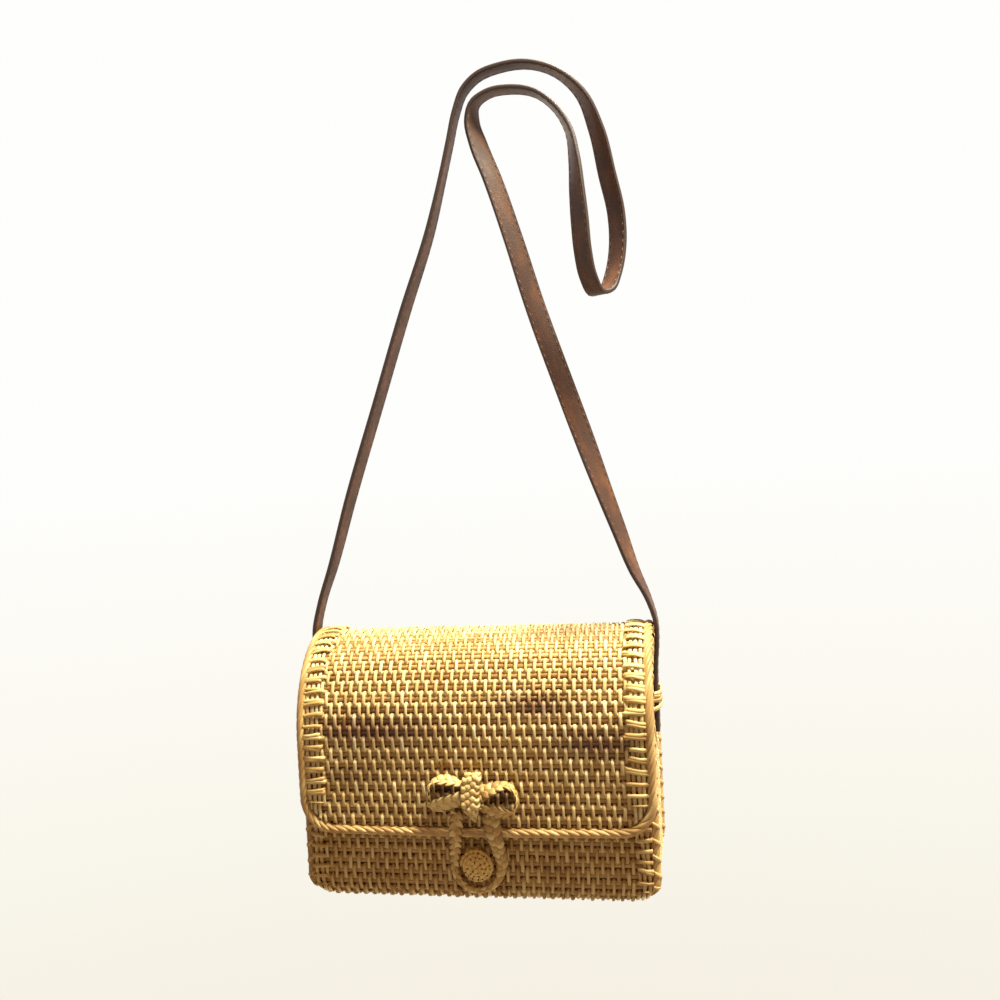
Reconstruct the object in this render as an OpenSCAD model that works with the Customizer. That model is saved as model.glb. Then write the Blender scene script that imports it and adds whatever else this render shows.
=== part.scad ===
// Woven box bag with an arched flap lid, a bow-and-button closing and a leather shoulder strap.
// The bag hangs from its strap: the origin is the place where the strap is held, straight above
// the bag's middle. X runs along the bag's width, the front faces -Y and Z points up.

/* [Bag] */
// Width over the two end panels
bag_w = 202; // [170:1:240]
// Depth of the body over its front and back walls
bag_d = 84; // [74:1:110]
// Height at which the walls turn into the arch
shoulder_h = 90; // [84:1:124]
// How far under the shoulder the walls end, without their ropes
mouth_drop = 6; // [5.5:0.5:10]
// Rise of the lid's arch over the shoulder
crown_rise = 58; // [46:1:75]
// Outer radius of the mat's turn from wall to base
base_r = 7; // [6:0.5:16]
// How far the end panels lie behind the face of their ropes
panel_recess = 1.5; // [0:0.1:2]

/* [Weave] */
// Thickness of a woven wall
mat_t = 4; // [3.4:0.1:5]
// Distance between two rows of the weave
row_pitch = 6.15; // [5:0.05:9]
// Distance between two strands that cross the rows
strand_pitch = 6.4; // [5:0.1:9]
// Depth of the hollow between two strands on a row
relief = 1; // [0.4:0.1:1.4]
// Depth of the groove between two rows
groove = 1.9; // [1.5:0.1:2.4]
// Thickness of the ropes that bind the edges
rope_d = 5; // [4:0.1:6]

/* [Lid] */
// Gap between the lid and the walls under it
lid_gap = 1.5; // [1:0.1:3]
// Height of the lid's front edge over the base
lid_edge_h = 39; // [35:1:50]
// Radius of the lid's two lower corners
lid_corner_r = 20; // [12:1:30]
// Length of a lashing stitch across the lid's edge band
stitch_l = 15; // [10:1:25]
// Width and thickness of a lashing stitch
stitch_w = 1.8; // [1:0.1:3]
stitch_t = 1; // [0.5:0.1:1.5]

/* [Closing] */
// Radius of the coiled button
button_r = 9.5; // [8:0.1:10]
// Height of the button's middle over the base
button_h = 21; // [20:0.5:23]
// Height of the button's crown over the front wall
button_rise = 5.2; // [4.6:0.1:5.6]
// Width of the plaited closing loop under the button, width of its tails at the bow, thickness
loop_w = 4; // [3:0.1:4.4]
tail_w = 7; // [4:0.1:8]
loop_t = 1.5; // [1:0.1:1.8]
// Space between the button and the loop, at its sides and below it
button_side_gap = 2; // [1:0.1:3]
button_low_gap = 2.7; // [2.5:0.1:3]
// Height of the bow's middle over the base
bow_h = 62.5; // [60:0.5:68]
// Half width and half height of one bow loop, at the middle of its strip
bow_a = 8.5; // [6:0.5:12]
bow_b = 8; // [6:0.5:9]
// Width and thickness of the bow's plaited strip
bow_w = 6; // [4:0.5:7]
bow_t = 1.2; // [0.8:0.1:1.6]

/* [Strap] */
// Width and thickness of the leather strap
strap_w = 12; // [8:0.5:14]
strap_t = 2.4; // [1.8:0.1:2.8]
// Height of the strap keepers' middle over the shoulder
keeper_rise = 16; // [8:1:24]
// Height, along the strap, of a keeper's band
keeper_l = 8; // [5:0.5:14]
// Thickness of a keeper's band
keeper_t = 1.6; // [1:0.1:2.5]

/* [Hidden] */
$fn = 48;

straw = "#d2a95f";
pale_straw = "#e0bf78";
dark_straw = "#b98d48";
leather = "#6b3a28";

// Clearance between pieces that are sewn to each other
seat = 0.2;
// Height of the place where the strap is held over the bag's base
hold_h = 454;
// Clearance between the lid's back edge and the rope it turns on
hinge_gap = 0.4;
rope_r = rope_d / 2;
// How far a rope's own thickness takes up the edge of a mat
rope_inset = rope_d + seat;
rope_sides = 8;
half_w = bag_w / 2;
half_d = bag_d / 2;
// The lid's outer face in front and behind
lid_half_d = half_d + lid_gap + mat_t;
// Height of the hinge rope's middle, and of the lid's back edge over it
hinge_h = shoulder_h - rope_r - hinge_gap;

// Stations along a profile, two to a row: a groove at each even one and a row's crest at each odd
// one. Each is [y, z, outward normal's y, outward normal's z].

// Number of stations in a length that has whole rows near the row pitch
function steps(length) = 2 * max(1, round(length / row_pitch));

// A straight stretch from p to q, without its last point
function straight(p, q, normal, n) =
    [for (i = [0 : n - 1]) concat(p + (q - p) * i / n, normal)];

// A place on half an ellipse, from the front over the crown to the back. The angle runs evenly along
// the curve, because the second term takes out what the unequal half axes add.
function even_angle(u, a, b) = u - (b - a) / (2 * (a + b)) * sin(2 * u) * 180 / PI;
function ellipse_station(a, b, centre_z, t) =
    let (n = [-cos(t) / a, sin(t) / b])
    concat([-a * cos(t), centre_z + b * sin(t)], n / norm(n));

// The body mat's outer face, from the back wall's top down, under the base and up the front
wall_h = shoulder_h - mouth_drop;
turn_steps = steps(base_r * PI / 2);
wall_steps = steps(wall_h - base_r);
base_steps = steps(bag_d - 2 * base_r);
body_line = concat(
    straight([half_d, wall_h], [half_d, base_r], [1, 0], wall_steps),
    [for (i = [0 : turn_steps - 1]) turn_station(half_d - base_r, -90 * i / turn_steps)],
    straight([half_d - base_r, 0], [base_r - half_d, 0], [0, -1], base_steps),
    [for (i = [0 : turn_steps - 1]) turn_station(base_r - half_d, -90 - 90 * i / turn_steps)],
    straight([-half_d, base_r], [-half_d, wall_h], [-1, 0], wall_steps),
    [[-half_d, wall_h, -1, 0]]);
function turn_station(centre_y, t) =
    [centre_y + base_r * cos(t), base_r + base_r * sin(t), cos(t), sin(t)];

// The lid's outer face, from the front edge up, over the crown and down to the hinge. The rows are
// evenly spaced along the middle of the wall.
lid_low = lid_edge_h + rope_inset;
lid_front = shoulder_h - lid_low;
lid_crown = (lid_half_d + crown_rise - mat_t) / 2 * PI;
lid_steps = steps(lid_front + lid_crown);
function lid_station(d) = d < lid_front
    ? [-lid_half_d, lid_low + d, -1, 0]
    : ellipse_station(lid_half_d, crown_rise, shoulder_h,
        even_angle(180 * (d - lid_front) / lid_crown, lid_half_d, crown_rise));
lid_line = [for (i = [0 : lid_steps]) lid_station((lid_front + lid_crown) * i / lid_steps)];
// Half the lid mat's width at each station: the two lower corners are round
lid_mat_half = half_w - rope_inset;
lid_mat_corner = lid_corner_r - rope_inset;
function corner_cut(d, r) = d < r ? r - sqrt(r * r - (r - d) * (r - d)) : 0;
lid_half = [for (i = [0 : len(lid_line) - 1])
    lid_mat_half - (lid_line[i][0] < 0 ? corner_cut(lid_line[i][1] - lid_low, lid_mat_corner) : 0)];

// Half the depth of an end panel's outline at a height, inset from the body's outer face
panel_rise = crown_rise - mat_t - lid_gap - rope_inset;
panel_half_d = half_d - rope_inset;
panel_low = rope_inset;
// The arch closes up to this share of its rise, where the last row lies under the rope
panel_crown = 0.97;
panel_steps = steps(shoulder_h + panel_rise * panel_crown - panel_low);
panel_corner = max(1, base_r - rope_inset);
panel_line = [for (i = [0 : panel_steps])
    [0, panel_low + (shoulder_h + panel_rise * panel_crown - panel_low) * i / panel_steps, -1, 0]];
function panel_half_at(z) = z > shoulder_h
    ? panel_half_d * sqrt(1 - pow((z - shoulder_h) / panel_rise, 2))
    : panel_half_d - corner_cut(z - panel_low, panel_corner);
panel_half = [for (s = panel_line) panel_half_at(s[1])];

// Strand gaps on each cross line of a mat: an even number on a crest, half as many in a groove
function strand_gaps(line, width, pitch) =
    let (c = 2 * round(width / pitch / 2))
    [for (i = [0 : len(line) - 1]) i % 2 == 0 ? c / 2 : c];

// Put a piece that is drawn over the base into the frame of the holding place
module hung() {
    translate([0, 0, -hold_h]) children();
}

// A closed wall whose outer face has a ridge for each row and rises at every other crossing of a
// row and a strand, and whose inner face is smooth. half gives half its width at each station and
// gaps the strand gaps there; a row with one gap is a plain ridge.
module woven_mat(line, half, gaps) {
    last = len(line) - 1;
    // The cross lines in turn: the outer face's, then the inner face's on the way back
    n = concat(gaps, [for (s = line) 1]);
    first = [for (k = 0, sum = 0; k < len(n); sum = sum + n[k] + 1, k = k + 1) sum];
    function at(k, j) = first[k] + j;
    function inner(i, j) = at(2 * last + 1 - i, j);
    function lift(i, j) = i % 2 == 0 ? -groove
        : gaps[i] == 1 ? -relief / 2
        : ((i - 1) / 2 + j) % 2 == 0 ? 0 : -relief;
    function place(i, u, d) =
        [half[i] * (2 * u - 1), line[i][0] + line[i][2] * d, line[i][1] + line[i][3] * d];
    points = concat(
        [for (i = [0 : last]) for (j = [0 : gaps[i]]) place(i, j / gaps[i], lift(i, j))],
        [for (i = [last : -1 : 0]) for (j = [0, 1]) place(i, j, -mat_t)]);
    // Triangles between two cross lines, where one may have several gaps to each of the other's
    function turned(keep, t) = keep ? t : [t[1], t[0], t[2]];
    function strip(k, l) =
        let (fine = n[k] > n[l] ? k : l, rough = n[k] > n[l] ? l : k, r = n[fine] / n[rough])
        [for (m = [0 : n[rough] - 1]) each concat(
            [for (s = [0 : r - 1]) turned(fine == l,
                [at(rough, s < r / 2 ? m : m + 1), at(fine, m * r + s), at(fine, m * r + s + 1)])],
            [turned(fine == l, [at(rough, m), at(fine, m * r + ceil(r / 2)), at(rough, m + 1)])])];
    faces = [for (k = [0 : len(n) - 1]) each strip(k, (k + 1) % len(n))];
    side_faces = [for (i = [0 : last - 1]) each [
        [at(i, 0), inner(i, 0), inner(i + 1, 0)],
        [at(i, 0), inner(i + 1, 0), at(i + 1, 0)],
        [at(i, n[i]), inner(i + 1, 1), inner(i, 1)],
        [at(i, n[i]), at(i + 1, n[i + 1]), inner(i + 1, 1)]]];
    polyhedron(points, concat(faces, side_faces), convexity = 10);
}

// A closed solid through rings of points that go round a path
module skin(rings, closed = false) {
    n = len(rings);
    k = len(rings[0]);
    function at(i, j) = (i % n) * k + j % k;
    walls = [for (i = [0 : n - (closed ? 1 : 2)]) for (j = [0 : k - 1]) each [
        [at(i, j), at(i + 1, j), at(i + 1, j + 1)], [at(i, j), at(i + 1, j + 1), at(i, j + 1)]]];
    caps = closed ? [] : [[for (j = [0 : k - 1]) at(0, j)], [for (j = [k - 1 : -1 : 0]) at(n - 1, j)]];
    polyhedron([for (r = rings) each r], concat(walls, caps), convexity = 10);
}

function unit(v) = v / norm(v);
// Direction of a path at its point i
function heading(path, i, closed = false) =
    let (n = len(path))
    closed ? unit(path[(i + 1) % n] - path[(i + n - 1) % n])
        : unit(path[min(i + 1, n - 1)] - path[max(i - 1, 0)]);
// The part of v that is square to the path's direction t
function square_to(v, t) = unit(v - t * (v * t));

// Rings of a round rope. Each path point has a vector that its section is turned by.
function rope_rings(path, side, closed) = [for (i = [0 : len(path) - 1])
    let (t = heading(path, i, closed), u = square_to(side[i], t), v = cross(t, u))
    [for (j = [0 : rope_sides - 1])
        let (angle = 360 * (j + 0.5) / rope_sides)
        path[i] + rope_r * (u * cos(angle) + v * sin(angle))]];

// Rings of a flat strip with bevelled edges. wide is the direction of its width at each point,
// and width one number or a list with one for each point.
function strip_rings(path, wide, width, thick) = [for (i = [0 : len(path) - 1])
    let (t = heading(path, i), u = square_to(wide[i], t), v = cross(t, u),
        w = (is_list(width) ? width[i] : width) / 2, h = thick / 2, e = thick / 4)
    [for (q = [[w, -h + e], [w, h - e], [w - e, h], [-w + e, h],
            [-w, h - e], [-w, -h + e], [-w + e, -h], [w - e, -h]])
        path[i] + u * q[0] + v * q[1]]];

// The base's rows are plain, because the bag stands on them
module body_mat() {
    half = half_w - rope_inset;
    base_from = wall_steps + turn_steps;
    gaps = strand_gaps(body_line, 2 * half, strand_pitch);
    color(straw) hung()
        woven_mat(body_line, [for (s = body_line) half], [for (i = [0 : len(body_line) - 1])
            i > base_from && i < base_from + base_steps ? 1 : gaps[i]]);
}

// On the ends every second strand is drawn
module end_panel() {
    translate([half_w - panel_recess, 0, 0]) rotate([0, 0, 90])
        woven_mat(panel_line, panel_half, strand_gaps(panel_line, 2 * panel_half_d, 2 * strand_pitch));
}
module end_panel_right() {
    color(straw) hung() end_panel();
}
module end_panel_left() {
    color(straw) hung() mirror([1, 0, 0]) end_panel();
}

// The rope round an end panel: down the back, under the base, up the front and over the arch
module end_rope() {
    x = half_w - rope_r;
    r = base_r - rope_r;
    y = half_d - rope_r;
    corner_steps = 4;
    arch_steps = 24;
    rise = crown_rise - mat_t - lid_gap - rope_r;
    loop = concat(
        [for (i = [0 : corner_steps]) corner(y - r, r, -90 * i / corner_steps)],
        [for (i = [0 : corner_steps]) corner(r - y, r, -90 - 90 * i / corner_steps)],
        [for (i = [0 : arch_steps]) arch(y, rise, 180 * i / arch_steps)]);
    function corner(centre_y, r, t) = [x, centre_y + r * cos(t), base_r + r * sin(t)];
    function arch(a, b, t) = [x, -a * cos(t), shoulder_h + b * sin(t)];
    skin(rope_rings(loop, [for (p = loop) [1, 0, 0]], true), closed = true);
}
module end_rope_right() {
    color(dark_straw) hung() end_rope();
}
module end_rope_left() {
    color(dark_straw) hung() mirror([1, 0, 0]) end_rope();
}

// A straight rope across the bag, between the two end ropes
module cross_rope(y, z) {
    length = bag_w - 2 * rope_inset;
    translate([-length / 2, y, z]) rotate([0, 90, 0]) cylinder(r = rope_r, h = length);
}
module mouth_rope_front() {
    color(dark_straw) hung() cross_rope(rope_r - half_d, wall_h + seat + rope_r);
}
module mouth_rope_back() {
    color(dark_straw) hung() cross_rope(half_d - rope_r, wall_h + seat + rope_r);
}
// The rope behind the back wall that the lid's back edge turns on
module hinge_rope() {
    color(dark_straw) hung() cross_rope(half_d + seat + rope_r, hinge_h);
}

module lid_mat() {
    color(straw) hung()
        woven_mat(lid_line, lid_half, strand_gaps(lid_line, 2 * lid_mat_half, strand_pitch));
}

// The rope round the lid: up the left edge of the back, over the crown, down the front, along
// the lower edge and back over the right edge. Its middle lies in the middle of the mat.
module lid_rope() {
    edge_x = half_w - rope_r;
    front_y = mat_t / 2 - lid_half_d;
    r = lid_corner_r - rope_r;
    corner_steps = 5;
    arch_steps = 22;
    a = lid_half_d - mat_t / 2;
    b = crown_rise - mat_t / 2;
    low = lid_edge_h + rope_r;
    arch = [for (i = [0 : arch_steps]) ellipse_station(a, b, shoulder_h, 180 - 180 * i / arch_steps)];
    corner = [for (i = [0 : corner_steps])
        [-edge_x + r - r * cos(90 * i / corner_steps), front_y, low + r - r * sin(90 * i / corner_steps)]];
    left = concat([for (s = arch) [-edge_x, s[0], s[1]]], corner);
    left_side = concat([for (s = arch) [0, s[2], s[3]]], [for (p = corner) [0, -1, 0]]);
    n = len(left);
    path = concat(left, [for (i = [n - 1 : -1 : 0]) [-left[i][0], left[i][1], left[i][2]]]);
    side = concat(left_side, [for (i = [n - 1 : -1 : 0]) left_side[i]]);
    color(dark_straw) hung() skin(rope_rings(path, side, false));
}

// Stitches across the band of strands along one side of the lid, one on each row
module lid_lashing() {
    x = half_w - stitch_l / 2 - seat;
    lift = rope_r - mat_t / 2 + seat;
    for (i = [0 : 2 : len(lid_line) - 1]) {
        s = lid_line[i];
        if (s[1] > lid_edge_h + lid_corner_r)
            translate([x, s[0], s[1]]) rotate([atan2(-s[2], s[3]), 0, 0])
                translate([-stitch_l / 2, -stitch_w / 2, lift]) cube([stitch_l, stitch_w, stitch_t]);
    }
}
module lid_lashing_right() {
    color(pale_straw) hung() lid_lashing();
}
module lid_lashing_left() {
    color(pale_straw) hung() mirror([1, 0, 0]) lid_lashing();
}

// The back of what is sewn on the lid's front, clear of the rope along its lower edge
trim_back_y = -(lid_half_d + rope_r - mat_t / 2 + seat);
// Half the knot's width at its middle, the share of it that is left at its top, and its thickness
knot_half_w = 5.5;
knot_top = 0.8;
knot_t = 4;

// A loop of the bow: a strip that lies nearly flat above and below and stands on edge at its end
module bow_loop() {
    ring_steps = 16;
    // Half the angle that the loop leaves open at the knot, and how far the strip leans over
    open_half = 32;
    lean = 62;
    centre_x = knot_half_w + seat + bow_a * cos(open_half) + bow_w / 4;
    centre_y = trim_back_y - bow_w / 2;
    angles = [for (i = [0 : ring_steps]) -180 + open_half + (360 - 2 * open_half) * i / ring_steps];
    path = [for (t = angles) [centre_x + bow_a * cos(t), centre_y, bow_h + bow_b * sin(t)]];
    wide = [for (t = angles)
        let (tilt = lean * abs(sin(t)))
        [-cos(t) * sin(tilt), -cos(tilt), -sin(t) * sin(tilt)]];
    skin(strip_rings(path, wide, bow_w, bow_t));
}
module bow_loop_right() {
    color(pale_straw) hung() bow_loop();
}
module bow_loop_left() {
    color(pale_straw) hung() mirror([1, 0, 0]) bow_loop();
}

// The knot: a strip wound over the bow's middle, with its end cut to a point
module bow_knot() {
    top = bow_h + bow_b + bow_w / 2;
    point = bow_h - bow_b - bow_w;
    outline = [[-knot_half_w, bow_h], [-knot_half_w * knot_top, top],
        [knot_half_w * knot_top, top], [knot_half_w, bow_h], [0, point]];
    color(straw) hung()
        translate([0, trim_back_y, 0]) rotate([90, 0, 0]) linear_extrude(knot_t) polygon(outline);
}

// The closing loop: two tails from the bow that go over the lid's edge and join under the button
module closing_loop() {
    side_x = button_r + button_side_gap + loop_w / 2;
    low_r = button_r + button_low_gap + loop_w / 2;
    top_y = trim_back_y - loop_t / 2;
    low_y = -(half_d + 2 * seat + loop_t);
    tail_top = bow_h - bow_b - bow_w / 2 - loop_w / 4;
    // How far the tails lean in on their way up to the bow
    lean = 4;
    arc_steps = 12;
    tail = [[-side_x + lean, top_y, tail_top], [-side_x + lean / 2, top_y, lid_edge_h + rope_r],
        [-side_x + lean / 4, top_y, lid_edge_h - rope_r], [-side_x, low_y, button_h + button_r]];
    tail_widths = [tail_w, tail_w, (tail_w + loop_w) / 2, loop_w];
    arc = [for (i = [0 : arc_steps])
        let (t = 180 + 180 * i / arc_steps) [side_x * cos(t), low_y, button_h + low_r * sin(t)]];
    path = concat(tail, arc, [for (i = [3 : -1 : 0]) [-tail[i][0], tail[i][1], tail[i][2]]]);
    wide = concat([for (p = tail) [-1, 0, 0]], [for (p = arc) [p[0], 0, p[2] - button_h]],
        [for (p = tail) [1, 0, 0]]);
    widths = concat(tail_widths, [for (p = arc) loop_w], [for (i = [3 : -1 : 0]) tail_widths[i]]);
    color(pale_straw) hung() skin(strip_rings(path, wide, widths, loop_t));
}

// The button: one strand coiled into a low dome over a filled middle
button_back = 1.6;
button_stem_r = 4;
module button() {
    coils = 4;
    // How much thicker the strand is than coils that only touch
    overlap = 1.2;
    strand_r = button_r / (2 * coils + 1) * overlap;
    coil_pitch = (button_r - strand_r) / coils;
    dome = button_rise - button_back - 2 * strand_r;
    function coil_z(k) = button_back + strand_r + dome * (1 - pow(k / coils, 2));
    color(straw) hung() translate([0, -half_d, button_h]) rotate([90, 0, 0]) {
        translate([0, 0, coil_z(0)]) sphere(r = strand_r);
        for (k = [1 : coils])
            translate([0, 0, coil_z(k)]) rotate_extrude() translate([k * coil_pitch, 0]) circle(r = strand_r);
        translate([0, 0, button_back])
            cylinder(r1 = coils * coil_pitch, r2 = coil_pitch, h = coil_z(0) - button_back);
    }
}
module button_stem() {
    color(dark_straw) hung()
        translate([0, -half_d - seat, button_h]) rotate([90, 0, 0])
            cylinder(r = button_stem_r, h = button_back - seat);
}

// A keeper: a woven band that bridges the strap on an end panel
strap_gap = 0.5;
module keeper() {
    inner_x = strap_gap + strap_t + seat;
    outer_x = inner_x + keeper_t;
    inner_y = strap_w / 2 + seat * 2;
    outer_y = inner_y + keeper_t;
    translate([half_w - panel_recess, 0, shoulder_h + keeper_rise - keeper_l / 2])
        linear_extrude(keeper_l) difference() {
            union() {
                translate([seat, -outer_y]) square([outer_x - seat - keeper_t, 2 * outer_y]);
                translate([seat, -inner_y]) square([outer_x - seat, 2 * inner_y]);
                for (side = [-1, 1])
                    translate([outer_x - keeper_t, side * inner_y]) circle(r = keeper_t);
            }
            translate([seat - 1, -inner_y]) square([inner_x - seat + 1, 2 * inner_y]);
        }
}
module keeper_right() {
    color(pale_straw) hung() keeper();
}
module keeper_left() {
    color(pale_straw) hung() mirror([1, 0, 0]) keeper();
}

// The strap's route: [x, y, z, turn]. The turn is the angle of the strap's width from Y towards X.

// An end of the strap, from under its keeper up the panel and over the rope on the arch
function strap_end(side) =
    let (panel_x = side * (half_w - panel_recess + strap_gap + strap_t / 2),
        rope_x = side * (half_w + strap_gap + strap_t / 2),
        keeper_z = shoulder_h + keeper_rise - hold_h,
        arch_z = shoulder_h + crown_rise - hold_h)
    [[panel_x, 0, keeper_z - 20, 0], [panel_x, 0, keeper_z - 7, 0],
        [panel_x, 0, keeper_z + 8, 0], [panel_x + side * 0.4, 0, keeper_z + 18, 0],
        [rope_x, 0, arch_z - 12, 0], [rope_x, 0, arch_z, 0]];
right_end = strap_end(1);

// From the left end up to the holding place, over it, round the spare loop and down to the right
strap_route = concat(strap_end(-1), [
    [-99, 0, -291, 0], [-90, 0, -267, 5], [-77, 0, -228, 10], [-55, 0, -168, 10],
    [-37, 0, -119, 10], [-18, 0, -70, 5], [-9, 0, -40, 0], [-4, 0, -22, 0], [1, 0, -4, 0],
    [6, 0, 7, 0], [14, 0, 14, 0], [28, 0, 18, 0], [44, 0, 18, 0], [60, 1, 12, -10],
    [73, 4, 0, -25], [81, 8, -20, -45], [86, 11, -46, -56], [90, 13, -68, -56],
    [90, 12, -88, -56], [87, 8, -104, -56], [83, 2, -114, -56], [78, -5, -116, -56],
    [74, -10, -107, -56], [72, -12, -94, -56], [71, -12, -76, -56], [70, -10, -58, -45],
    [69, -7, -40, -30], [66, -4, -22, -15], [58, -2, -8, -5], [46, 0, 2, 0], [32, 0, 5, 0],
    [20, 0, 4, 0], [12, 0, -1, 10], [10, 0, -10, 30], [13, 0, -24, 50], [20, 0, -44, 55],
    [31, 0, -81, 60], [41, 0, -118, 70], [57, 0, -169, 85], [66, 0, -197, 70],
    [75, 0, -225, 50], [84, 0, -252, 35], [92, 0, -276, 20], [99, 0, -292, 5]],
    [for (i = [len(right_end) - 1 : -1 : 0]) right_end[i]]);
module strap() {
    path = [for (p = strap_route) [p[0], p[1], p[2]]];
    wide = [for (p = strap_route) [sin(p[3]), cos(p[3]), 0]];
    color(leather) skin(strip_rings(path, wide, strap_w, strap_t));
}

body_mat();
end_panel_left();
end_panel_right();
end_rope_left();
end_rope_right();
mouth_rope_front();
mouth_rope_back();
hinge_rope();
lid_mat();
lid_rope();
lid_lashing_left();
lid_lashing_right();
bow_loop_left();
bow_loop_right();
bow_knot();
closing_loop();
button();
button_stem();
keeper_left();
keeper_right();
strap();
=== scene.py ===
# %% [markdown]
# A small woven box bag with an arched flap lid
#
# The bag is woven from split vine strands over grass bundles, bound with twisted rope, closed by a
# plaited bow and a coiled button, and it hangs from a leather strap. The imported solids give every
# place and size. A bump on those solids would be the quick way to show a weave. This lesson makes
# the strands themselves, because a bump can't give the dark slits and the round strand tops that
# the eye looks for.

# %% The frame and its box
import math
import bmesh
import bpy
import numpy as np
from mathutils import Matrix, Vector


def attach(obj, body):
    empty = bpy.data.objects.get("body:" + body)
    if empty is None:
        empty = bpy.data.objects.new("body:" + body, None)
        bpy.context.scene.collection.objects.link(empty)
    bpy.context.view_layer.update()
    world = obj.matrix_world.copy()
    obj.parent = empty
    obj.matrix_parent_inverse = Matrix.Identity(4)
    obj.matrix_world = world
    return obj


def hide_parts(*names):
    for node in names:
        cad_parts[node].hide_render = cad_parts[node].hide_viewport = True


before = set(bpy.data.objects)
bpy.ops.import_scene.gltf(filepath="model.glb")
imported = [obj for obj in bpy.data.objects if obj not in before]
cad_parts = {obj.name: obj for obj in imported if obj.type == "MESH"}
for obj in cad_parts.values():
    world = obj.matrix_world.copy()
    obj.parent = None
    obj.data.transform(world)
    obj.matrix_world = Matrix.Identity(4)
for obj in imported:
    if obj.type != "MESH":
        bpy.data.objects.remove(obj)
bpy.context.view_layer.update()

MM = 0.001
# Height of the holding place, which is the frame's origin, over the bag's base
HOLD = 454.0
SIDES = (("left", -1), ("right", 1))
rng = np.random.default_rng(21)
scene = bpy.context.scene
scene.view_settings.view_transform = "Standard"

# %% [markdown]
# Camera
#
# The camera stands a little to the right and above, as the photograph's does, and is rolled by under
# three degrees. It could be turned by three angles. It is set from its own right and forward
# directions instead, because those come from the fit of the bag's outline to the photograph.

# %% Camera
ahead = Vector((-0.18448, 0.98217, -0.03619))
right = Vector((0.98186, 0.18254, -0.05121))
up = right.cross(ahead)
camera_data = bpy.data.cameras.new("photo_camera")
camera_data.sensor_width = 36
camera_data.lens = 36.51
camera = bpy.data.objects.new("photo_camera", camera_data)
scene.collection.objects.link(camera)
turn = Matrix((right, up, -ahead)).transposed().to_4x4()
camera.matrix_world = Matrix.Translation((0.12527, -0.58656, -0.21005)) @ turn
scene.camera = camera
print("camera at", tuple(round(v, 3) for v in camera.location), "lens", camera_data.lens)

# %% [markdown]
# The bench: strands are made straight, then laid on the bag
#
# Grass is worked straight from the bundle and bent on the object. A curve with a bevel could follow
# each bend, but a curve has no place for the marks that the materials read. So a strand is a
# cylinder along X, cut into rings in edit mode, and its rings are then moved to a wave, a twist or
# a plait. At the end the whole flat piece is laid along a route on the bag.

# %% Points and marks
def points_of(obj):
    flat = np.empty(len(obj.data.vertices) * 3, dtype=np.float32)
    obj.data.vertices.foreach_get("co", flat)
    return flat.reshape(-1, 3).astype(float) / MM


def move_points(obj, points):
    obj.data.vertices.foreach_set("co", (points * MM).astype(np.float32).ravel())
    obj.data.update()


def mark(obj, name, values):
    kind = "FLOAT" if np.ndim(values) == 1 else "FLOAT_VECTOR"
    layer = obj.data.attributes.get(name) or obj.data.attributes.new(name, kind, "POINT")
    field = "value" if kind == "FLOAT" else "vector"
    layer.data.foreach_set(field, np.asarray(values, dtype=np.float32).ravel())


# %% A straight strand
def pick_edges_along_x(obj, shortest):
    bpy.ops.object.mode_set(mode="EDIT")
    bpy.ops.mesh.select_mode(type="EDGE")
    bpy.ops.mesh.select_all(action="DESELECT")
    mesh = bmesh.from_edit_mesh(obj.data)
    for edge in mesh.edges:
        edge.select_set(abs(edge.verts[0].co.x - edge.verts[1].co.x) > shortest * MM)
    bmesh.update_edit_mesh(obj.data)


def cut_along_x(obj, length, parts):
    # One call of the operator makes at most 100 cuts, so long pieces are cut in two rounds
    rough = next(n for n in range(1, parts + 1) if parts % n == 0 and parts // n <= 100)
    for shortest, cuts in ((length / 2, rough - 1), (length / rough / 2, parts // rough - 1)):
        if cuts:
            pick_edges_along_x(obj, shortest)
            bpy.ops.mesh.subdivide(number_cuts=cuts)
    bpy.ops.object.mode_set(mode="OBJECT")


def start(primitive, scale, **settings):
    # A primitive with its place, turn and real size written into its points
    bpy.ops.object.select_all(action="DESELECT")
    primitive(**settings)
    obj = bpy.context.object
    obj.scale = scale
    bpy.ops.object.transform_apply(location=True, rotation=True, scale=True)
    return obj


def strand(name, length, rings, sides, width, thick):
    obj = start(bpy.ops.mesh.primitive_cylinder_add, (width, width, 1), vertices=sides, radius=0.5 * MM,
                depth=length * MM, location=(length * MM / 2, 0, 0), rotation=(0, math.pi / 2, 0))
    obj.name = obj.data.name = name
    cut_along_x(obj, length, rings)
    bpy.ops.object.shade_smooth()
    p = points_of(obj)
    p[:, 2] *= thick / width
    move_points(obj, p)
    tint(obj)
    return obj


def tint(obj, tone=None):
    # Each strand is cut from another place of the fibre and has its own tone
    p = points_of(obj)
    p[:, 0] += rng.uniform(0, 900)
    mark(obj, "fibre", p)
    mark(obj, "tone", np.full(len(p), rng.uniform(0.2, 0.8) if tone is None else tone))
    mark(obj, "stain", np.zeros(len(p)))


# %% Join, copy and bevel
def only(*objs):
    bpy.ops.object.select_all(action="DESELECT")
    for obj in objs:
        obj.select_set(True)
    bpy.context.view_layer.objects.active = objs[0]


def join(name, objs):
    only(*objs)
    if len(objs) > 1:
        bpy.ops.object.join()
    obj = bpy.context.object
    obj.name = obj.data.name = name
    return obj


def repeat(obj, count, step):
    only(obj)
    array = obj.modifiers.new("row", "ARRAY")
    array.count = count
    array.use_relative_offset = False
    array.use_constant_offset = True
    array.constant_offset_displace = Vector(step) * MM
    bpy.ops.object.modifier_apply(modifier="row")
    return obj


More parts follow.
